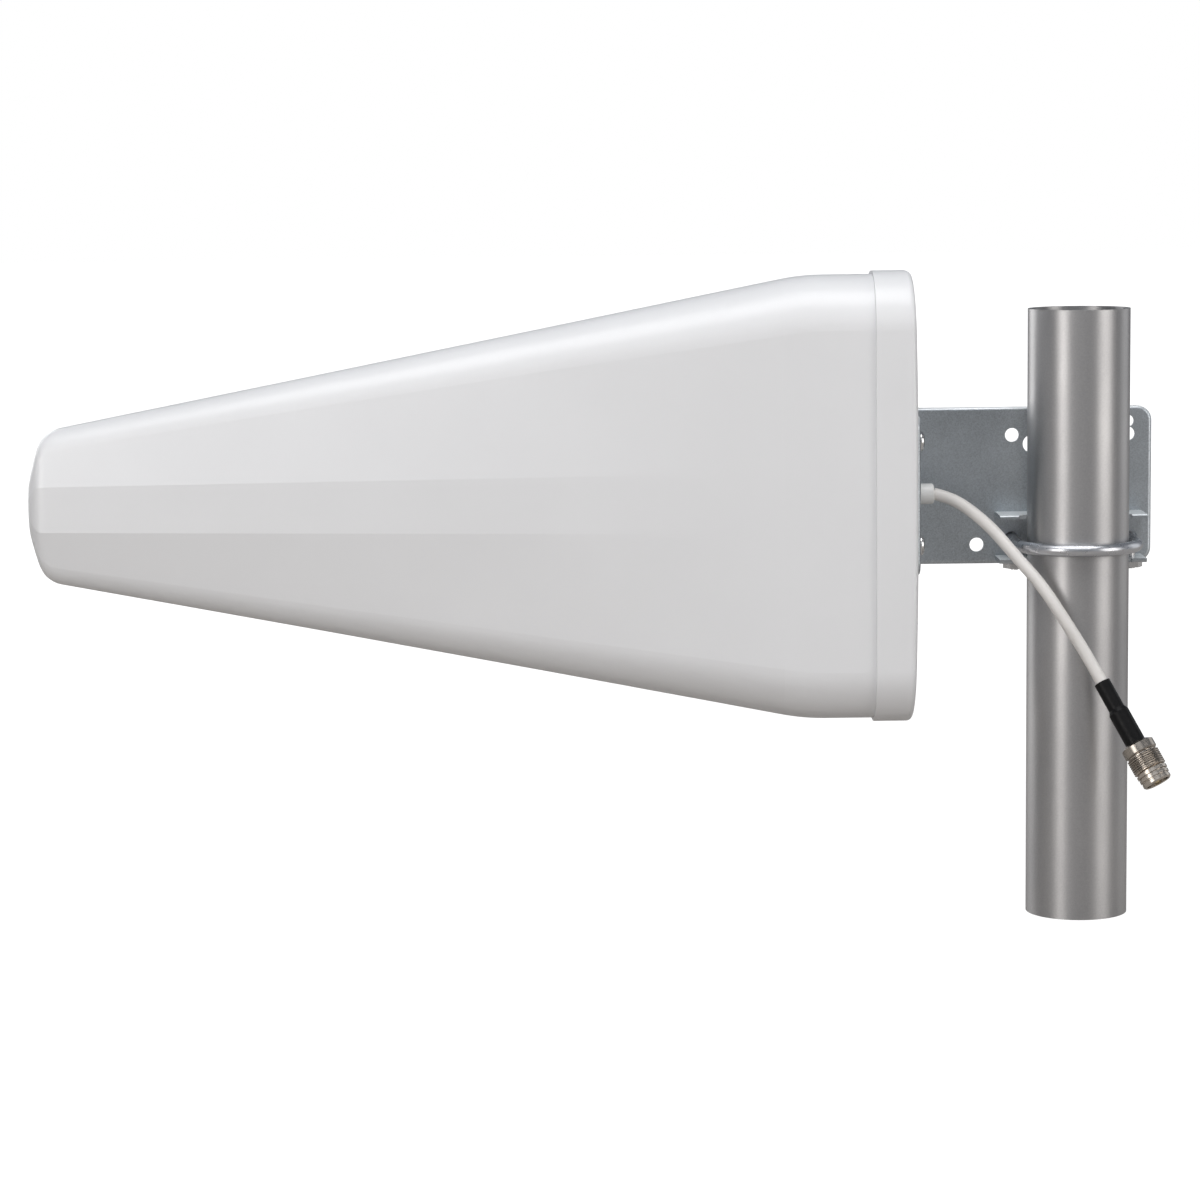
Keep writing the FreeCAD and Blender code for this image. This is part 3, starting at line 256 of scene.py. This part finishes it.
def bright_metal(name, colour, roughness, scale=600.0, depth=0.00004):
    """Plated or polished metal with a faint grain, of the given scale and depth."""
    made = Paint(name)
    where = made.coordinates()
    cloud = made.noise(where, scale=60.0)
    fine = made.noise(where, scale)
    shade = made.blend(made.spread(cloud, 0.0, 1.0), darker(colour, 0.86), colour)
    gloss = made.spread(fine, roughness * 0.9, roughness * 1.1)
    grain = made.bump(fine, strength=0.2, distance=depth)
    return made.finish(shade, gloss, grain, Metallic=1.0)


def ribbed_metal(name, colour, roughness, route):
    """Plated metal with fine turned ribs, painted on as painted shade in their grooves, round the line
    that the route's last run points along.
    """
    made = Paint(name)
    where = made.coordinates()
    start = Vector(route[-1])
    direction = (start - Vector(route[-2])).normalized()
    offset = made.vector_math("SUBTRACT", where, start)["Vector"]
    along = made.vector_math("DOT_PRODUCT", offset, direction)["Value"]
    ridge = made.math("PINGPONG", along, RIB_PITCH / 2)
    inside = made.math("COMPARE", along, (RIBS_START + RIBS_END) / 2, (RIBS_END - RIBS_START) / 2)
    # Painted shade: the colour is halved down each groove between the ribs, which are only painted
    painted_groove_shade = made.math("MULTIPLY", made.spread(ridge, 1.0, 0.0, start=0.0, end=RIB_PITCH / 2), inside)
    shade = made.blend(painted_groove_shade, colour, darker(colour, 0.5))
    fine = made.noise(where, scale=500.0)
    gloss = made.spread(fine, roughness * 0.9, roughness * 1.1)
    return made.finish(shade, gloss, Metallic=1.0)


def rolled_tube(name, bright, dark, roughness):
    """Rolled steel tube: a fine speckle, soft patches, and a grain round it that draws highlights out."""
    made = Paint(name)
    speck = made.noise(made.coordinates(), scale=1300.0, roughness=0.6)
    patches = made.noise(made.coordinates(scale=(1.0, 1.0, 0.3)), scale=45.0)
    # Two parts speckle to one part patches
    both = made.math("MULTIPLY_ADD", speck, 0.6, made.spread(patches, 0.05, 0.35))
    shade = made.blend(made.spread(both, 0.0, 1.0), dark, bright)
    gloss = made.spread(patches, roughness + 0.03, roughness - 0.03)
    grain = made.bump(speck, strength=0.12, distance=0.00003)
    round_it = made.add("ShaderNodeTangent", direction_type="RADIAL", axis="Z")
    made.link(round_it.outputs["Tangent"], made.shader.inputs["Tangent"])
    return made.finish(shade, gloss, grain, Metallic=1.0, Anisotropic=0.65, Anisotropic_Rotation=0.25)


def soft_plastic(name, colour, roughness, specular=0.5):
    """Cable jacket, sleeve or gasket: soft sheen and a fine uneven skin."""
    made = Paint(name)
    where = made.coordinates()
    cloud = made.noise(where, scale=40.0)
    fine = made.noise(where, scale=400.0, detail=3.0)
    shade = made.blend(made.spread(cloud, 0.0, 1.0), darker(colour, 0.93), colour)
    gloss = made.spread(fine, roughness - 0.06, roughness + 0.08)
    grain = made.bump(fine, strength=0.3, distance=0.00006)
    return made.finish(shade, gloss, grain, Specular_IOR_Level=specular)


def dress(material, *names):
    """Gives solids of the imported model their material."""
    for name in names:
        target = nodes[name]
        target.data.materials.clear()
        target.data.materials.append(material)


# Studio: floor, surroundings and lamps

def make_floor():
    """A pale floor, white to the camera, that keeps soft shadows near the object."""
    bpy.ops.mesh.primitive_plane_add(size=FLOOR_SIZE, location=FLOOR_PLACE)
    floor = bpy.context.object
    floor.name = "floor"
    made = Paint("floor_paint")
    made.shader.inputs["Base Color"].default_value = (*FLOOR_COLOUR, 1.0)
    made.shader.inputs["Roughness"].default_value = 0.9
    white = made.add("ShaderNodeEmission", Strength=1.2)
    from_foot = made.coordinates(shift=Vector(FLOOR_PLACE) - Vector(OBJECT_FOOT))
    distance = made.vector_math("LENGTH", from_foot)["Value"]
    shadow = made.spread(distance, SHADOW_SHARE, 0.0, start=SHADOW_FADES_FROM, end=SHADOW_ENDS_AT)
    path = made.add("ShaderNodeLightPath").outputs
    seen = made.math("MULTIPLY", path["Is Camera Ray"], made.math("SUBTRACT", 1.0, shadow))
    whiteness = made.math("MULTIPLY_ADD", path["Is Glossy Ray"], FLOOR_MIRRORED, seen)
    mix = made.add("ShaderNodeMixShader")
    made.link(whiteness, mix.inputs["Fac"])
    made.link(made.shader.outputs["BSDF"], mix.inputs[1])
    made.link(white.outputs["Emission"], mix.inputs[2])
    made.link(mix.outputs["Shader"], made.output.inputs["Surface"])
    floor.data.materials.append(made.material)


def make_world():
    """White behind the object for the camera, and a plain grey room for light and reflections."""
    world = bpy.data.worlds.new("studio")
    scene.world = world
    world.use_nodes = True
    made = Tree(world.node_tree)
    background = made.tree.nodes["Background"]
    path = made.add("ShaderNodeLightPath").outputs
    tint = made.blend(path["Is Camera Ray"], ROOM_TINT, WHITE)
    made.link(tint, background.inputs["Color"])
    strength = made.spread(path["Is Camera Ray"], ROOM_STRENGTH, 1.0, start=0.0, end=1.0)
    mirrored = made.math("MULTIPLY_ADD", path["Is Glossy Ray"], ROOM_MIRRORED, strength)
    made.link(mirrored, background.inputs["Strength"])


def add_lamp(name, place, target, size, power, colour=WHITE, mirrored=True):
    """A rectangular lamp that looks at its target, and that gloss reflects if it is mirrored."""
    data = bpy.data.lights.new(name, "AREA")
    data.shape = "RECTANGLE"
    data.size, data.size_y = size
    data.energy = power
    data.color = colour
    lamp = bpy.data.objects.new(name, data)
    aim = Vector(target) - Vector(place)
    lamp.matrix_world = Matrix.Translation(place) @ aim.to_track_quat("-Z", "Y").to_matrix().to_4x4()
    lamp.visible_glossy = mirrored
    scene.collection.objects.link(lamp)


def make_lamps():
    add_lamp("overhead", (-0.2, -0.5, 1.7), OBJECT_MIDDLE, size=(1.6, 0.9), power=15.8)
    # The low fill isn't mirrored, so the mast's middle stays dark, and the high one shines on the U-bolt
    add_lamp("front", (-0.2, -2.6, 0.9), OBJECT_MIDDLE, size=(2.0, 1.2), power=11.0, mirrored=False)
    add_lamp("front_high", (-0.2, -2.2, 1.5), OBJECT_MIDDLE, size=(1.6, 0.8), power=2.4)
    # These two draw the bright bands down the mast
    add_lamp("strip_left", (-1.24, -1.31, 0.5), MAST_MIDDLE, size=(0.58, 1.4), power=9.2, colour=WARM)
    add_lamp("strip_right", (1.375, -1.0, 0.5), MAST_MIDDLE, size=(0.95, 1.4), power=9.6, colour=WARM)
    add_lamp("rim_left", (-1.4, 1.35, 0.5), MAST_MIDDLE, size=(1.2, 1.4), power=9.0)
    add_lamp("rim_right", (1.55, 0.8, 0.5), MAST_MIDDLE, size=(1.0, 1.4), power=2.8)
    # Lights the far side without burning out the top edges, which mirror it at a grazing angle
    add_lamp("rear", (-0.1, 2.4, 1.0), OBJECT_MIDDLE, size=(1.8, 1.0), power=15.0, mirrored=False)


# Pigtail

def make_cable(route, material):
    curve = bpy.data.curves.new("pigtail", "CURVE")
    curve.dimensions = "3D"
    spline = curve.splines.new("NURBS")
    spline.points.add(len(route) - 1)
    for point, place in zip(spline.points, route):
        point.co = (*place, 1.0)
    spline.order_u = 3
    spline.use_endpoint_u = True
    curve.resolution_u = 24
    # Half the cable's diameter
    curve.bevel_depth = 0.003
    curve.bevel_resolution = 8
    curve.use_fill_caps = True
    piece = bpy.data.objects.new("pigtail", curve)
    scene.collection.objects.link(piece)
    curve.materials.append(material)
    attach(piece, "root")
    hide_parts("pigtail_cable")


make_camera()
white_plastic = moulded_plastic("white_moulding", (0.79, 0.797, 0.812), 0.3)
gland_white = moulded_plastic("gland_moulding", (0.78, 0.78, 0.77), 0.3)
# The last colour of each zinc sheet is its painted highlight for faces that look up
zinc_sheet = plated_sheet(
    "zinc_sheet", bright=(0.68, 0.73, 0.77), dark=(0.41, 0.44, 0.465), painted_top_light=(0.86, 0.89, 0.91),
    roughness=0.42)
saddle_zinc = plated_sheet(
    "saddle_zinc", bright=(0.62, 0.66, 0.69), dark=(0.4, 0.43, 0.455), painted_top_light=(0.93, 0.98, 1.0),
    roughness=0.36)
bolt_zinc = bright_metal("bolt_zinc", (0.66, 0.67, 0.7), 0.29, scale=400.0, depth=0.00001)
stainless = bright_metal("stainless", (0.7, 0.7, 0.7), 0.22)
mast_steel = rolled_tube(
    "mast_steel", bright=(0.55, 0.545, 0.545), dark=(0.455, 0.45, 0.455), roughness=0.435)
nickel = bright_metal("nickel", (0.47, 0.43, 0.385), 0.25, scale=500.0, depth=0.000005)
ribbed_nickel = ribbed_metal("ribbed_nickel", (0.58, 0.53, 0.475), 0.27, PIGTAIL_ROUTE)
gold = bright_metal("gold_contact", (0.8, 0.6, 0.25), 0.2)
aluminium = bright_metal("bare_aluminium", (0.7, 0.7, 0.71), 0.35)
jacket = soft_plastic("cable_jacket", (0.73, 0.71, 0.69), 0.42)
shrink = soft_plastic("shrink_sleeve", (0.003, 0.003, 0.0035), 0.42, specular=0.2)
rubber = soft_plastic("gasket_rubber", (0.02, 0.02, 0.02), 0.7)
natural = soft_plastic("natural_plastic", (0.7, 0.68, 0.62), 0.5)
bead_white = soft_plastic("bead_plastic", (0.8, 0.79, 0.75), 0.45)

dress(mast_steel, "mast_tube")
dress(white_plastic, "radome", "rear_cap")
dress(gland_white, "cable_gland", "gland_nut")
dress(rubber, "cap_gasket")
dress(zinc_sheet, "mounting_bracket")
dress(saddle_zinc, "saddle")
dress(bolt_zinc, "u_bolt", "u_bolt_washers", "u_bolt_lock_washers", "u_bolt_nuts")
dress(stainless, "bracket_screws", "bracket_nuts", "set_screws", "set_screw_nuts")
dress(aluminium, "inner_plate", "boom_near", "boom_far", "shorting_block", "feed_link")
dress(aluminium, *[f"dipole_{number:02d}" for number in range(1, 12)])
dress(natural, "front_spacer", "middle_spacer")
dress(jacket, "feed_line")
dress(shrink, "heat_shrink")
dress(nickel, "crimp_ferrule", "connector_clamp_nut")
dress(ribbed_nickel, "connector_body")
dress(bead_white, "connector_insulator")
dress(gold, "connector_contact")
make_cable(PIGTAIL_ROUTE, jacket)
make_floor()
make_world()
make_lamps()
